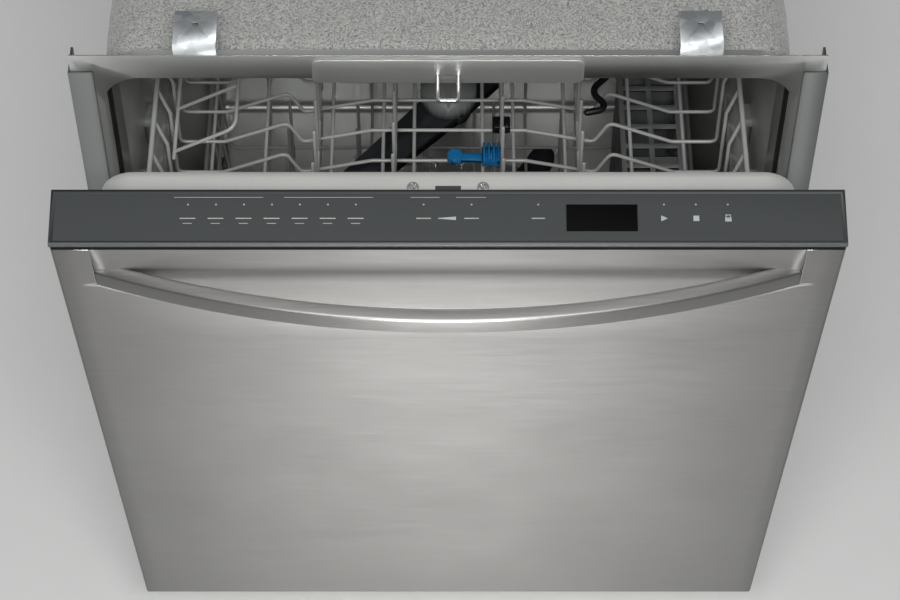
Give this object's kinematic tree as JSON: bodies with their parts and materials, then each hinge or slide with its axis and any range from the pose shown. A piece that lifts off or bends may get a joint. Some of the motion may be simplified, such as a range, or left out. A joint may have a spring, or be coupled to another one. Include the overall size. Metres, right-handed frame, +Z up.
{
  "type": "dishwasher",
  "caption": "Built-in dishwasher with a drop-down steel door, bowed bar handle, top console, steel tub, sliding wire racks and spray arms.",
  "frame": {"origin": "on the floor under the centre of the whole part, door ajar", "axes": "+Z up, +Y from the door towards the back, +X to the right seen from the front"},
  "size_m": [0.606, 0.7542, 0.858],
  "materials": {
    "brushed_steel": "brushed across",
    "tub_steel": "bright rolled",
    "liner_steel": "satin",
    "trim_grey": "satin",
    "galvanised": "galvanised",
    "kick_paint": "satin",
    "seal_rubber": "matt",
    "console_plastic": "satin moulded",
    "overlay_film": "satin film",
    "display_glass": "gloss",
    "board_green": "solder mask",
    "blanket_fibre": "needled felt",
    "wire_nylon": "nylon coat",
    "grey_plastic": "moulded",
    "dark_plastic": "moulded",
    "black_plastic": "moulded",
    "blue_plastic": "moulded",
    "white_plastic": "moulded",
    "bright_steel": "bright",
    "filter_grey": "moulded"
  },
  "bodies": {
    "cabinet": {"tub": "tub_steel", "gasket": "seal_rubber", "side_trims": "trim_grey", "strike_plate": "tub_steel", "strike": "bright_steel", "counter_brackets": "galvanised", "insulation_blanket": "blanket_fibre", "base_frame": "galvanised", "kick_plate": "kick_paint", "sump": "dark_plastic", "wash_pump": "dark_plastic", "drain_pump": "dark_plastic", "inlet_valve": "white_plastic", "filter_plate": "filter_grey", "heater": "bright_steel", "feed_tube": "grey_plastic", "roller_brackets": "grey_plastic", "hinge_brackets": "galvanised"},
    "door": {"door_skin": "brushed_steel", "handle": "brushed_steel", "console": "console_plastic", "console_overlay": "overlay_film", "display_window": "display_glass", "control_board": "board_green", "door_liner": "liner_steel", "dispenser_body": "grey_plastic", "latch_housing": "dark_plastic", "door_screws": "bright_steel", "hinge_arms": "galvanised"},
    "dispenser_lid": {"dispenser_lid": "grey_plastic"},
    "rinse_cap": {"rinse_cap": "dark_plastic"},
    "latch_hook": {"latch_hook": "bright_steel"},
    "upper_rack": {"upper_basket": "wire_nylon", "upper_tines": "wire_nylon", "tine_clips": "black_plastic", "stem_holder": "black_plastic", "upper_rails": "tub_steel", "rail_stops": "black_plastic", "feed_duct": "grey_plastic"},
    "fold_row": {"fold_tines": "wire_nylon", "fold_grip": "blue_plastic"},
    "cup_shelf": {"cup_shelf": "wire_nylon"},
    "mid_spray_arm": {"mid_spray_arm": "dark_plastic"},
    "upper_rollers_front": {"upper_rollers_front": "white_plastic"},
    "upper_rollers_rear": {"upper_rollers_rear": "white_plastic"},
    "lower_rack": {"lower_basket": "wire_nylon", "lower_tines": "wire_nylon", "wheel_brackets": "grey_plastic", "silverware_basket": "grey_plastic"},
    "basket_lid": {"basket_lid": "grey_plastic"},
    "lower_spray_arm": {"lower_spray_arm": "dark_plastic"},
    "filter_cylinder": {"filter_cylinder": "filter_grey"},
    "overfill_float": {"overfill_float": "grey_plastic"},
    "lower_wheels_front": {"lower_wheels_front": "grey_plastic"},
    "lower_wheels_middle": {"lower_wheels_middle": "grey_plastic"},
    "lower_wheels_back": {"lower_wheels_back": "grey_plastic"},
    "foot_front_left": {"foot_front_left": "black_plastic"},
    "foot_front_right": {"foot_front_right": "black_plastic"},
    "foot_back_left": {"foot_back_left": "black_plastic"},
    "foot_back_right": {"foot_back_right": "black_plastic"}
  },
  "joints": [
    {"name": "door_hinge", "type": "hinge", "parent": "cabinet", "child": "door", "pos_m": [0, -0.19495, 0.12], "axis": [1, 0, 0], "range_deg": [-9.15, 80.85]},
    {"name": "dispenser_lid_slide", "type": "slide", "parent": "door", "child": "dispenser_lid", "axis": [1, 0, 0], "range_m": [0, 0.058]},
    {"name": "rinse_cap_turn", "type": "hinge", "parent": "door", "child": "rinse_cap", "pos_m": [0.076, -0.20805, 0.49063], "axis": [0, 0.9873, 0.159], "range_deg": [0, 90]},
    {"name": "latch_hook_pivot", "type": "hinge", "parent": "door", "child": "latch_hook", "pos_m": [0, -0.30467, 0.80122], "axis": [-1, 0, 0], "range_deg": [0, 40]},
    {"name": "upper_rack_slide", "type": "slide", "parent": "cabinet", "child": "upper_rack", "axis": [0, -1, 0], "range_m": [-0.03883, 0.33916]},
    {"name": "fold_row_pivot", "type": "hinge", "parent": "upper_rack", "child": "fold_row", "pos_m": [0.048, 0.03673, 0.58015], "axis": [0, 1, 0], "range_deg": [0, 85]},
    {"name": "cup_shelf_pivot", "type": "hinge", "parent": "upper_rack", "child": "cup_shelf", "pos_m": [-0.23975, 0.05673, 0.63], "axis": [0, -1, 0], "range_deg": [-30, 50]},
    {"name": "mid_arm_spin", "type": "hinge", "parent": "upper_rack", "child": "mid_spray_arm", "pos_m": [0, 0.04473, 0.545], "axis": [0, 0, 1], "continuous": true},
    {"name": "lower_rack_slide", "type": "slide", "parent": "cabinet", "child": "lower_rack", "axis": [0, -1, 0], "range_m": [-0.01168, 0.09928]},
    {"name": "basket_lid_hinge", "type": "hinge", "parent": "lower_rack", "child": "basket_lid", "pos_m": [0.2304, 0.06788, 0.43775], "axis": [0, 1, 0], "range_deg": [0, 95]},
    {"name": "lower_arm_spin", "type": "hinge", "parent": "cabinet", "child": "lower_spray_arm", "pos_m": [0, 0.08005, 0.183], "axis": [0, 0, 1], "continuous": true},
    {"name": "filter_twist", "type": "hinge", "parent": "cabinet", "child": "filter_cylinder", "pos_m": [0.04, 0.05005, 0.165], "axis": [0, 0, 1], "range_deg": [0, 90]},
    {"name": "float_lift", "type": "slide", "parent": "cabinet", "child": "overfill_float", "axis": [0, 0, 1], "range_m": [0, 0.008]},
    {"name": "upper_rollers_front_spin", "type": "hinge", "parent": "cabinet", "child": "upper_rollers_front", "pos_m": [0, -0.12295, 0.618], "axis": [1, 0, 0], "range_deg": [-276, 2427]},
    {"name": "upper_rollers_rear_spin", "type": "hinge", "parent": "cabinet", "child": "upper_rollers_rear", "pos_m": [0, -0.04695, 0.618], "axis": [1, 0, 0], "range_deg": [-276, 2427]},
    {"name": "lower_wheels_front_spin", "type": "hinge", "parent": "lower_rack", "child": "lower_wheels_front", "pos_m": [0, -0.08612, 0.1852], "axis": [1, 0, 0], "range_deg": [-35, 299]},
    {"name": "lower_wheels_middle_spin", "type": "hinge", "parent": "lower_rack", "child": "lower_wheels_middle", "pos_m": [0, 0.08388, 0.1852], "axis": [1, 0, 0], "range_deg": [-35, 299]},
    {"name": "lower_wheels_back_spin", "type": "hinge", "parent": "lower_rack", "child": "lower_wheels_back", "pos_m": [0, 0.25388, 0.1852], "axis": [1, 0, 0], "range_deg": [-35, 299]},
    {"name": "foot_front_left_level", "type": "slide", "parent": "cabinet", "child": "foot_front_left", "axis": [0, 0, -1], "range_m": [0, 0.03]},
    {"name": "foot_front_right_level", "type": "slide", "parent": "cabinet", "child": "foot_front_right", "axis": [0, 0, -1], "range_m": [0, 0.03]},
    {"name": "foot_back_left_level", "type": "slide", "parent": "cabinet", "child": "foot_back_left", "axis": [0, 0, -1], "range_m": [0, 0.03]},
    {"name": "foot_back_right_level", "type": "slide", "parent": "cabinet", "child": "foot_back_right", "axis": [0, 0, -1], "range_m": [0, 0.03]}
  ],
  "couplings": [
    {"joint": "upper_rack_slide", "follows": "door_hinge", "m_per_rad": 0.24},
    {"joint": "lower_rack_slide", "follows": "door_hinge", "m_per_rad": 0.07},
    {"joint": "upper_rollers_front_spin", "follows": "door_hinge", "ratio": 30},
    {"joint": "upper_rollers_rear_spin", "follows": "door_hinge", "ratio": 30},
    {"joint": "lower_wheels_front_spin", "follows": "door_hinge", "ratio": 3.6842},
    {"joint": "lower_wheels_middle_spin", "follows": "door_hinge", "ratio": 3.6842},
    {"joint": "lower_wheels_back_spin", "follows": "door_hinge", "ratio": 3.6842}
  ]
}
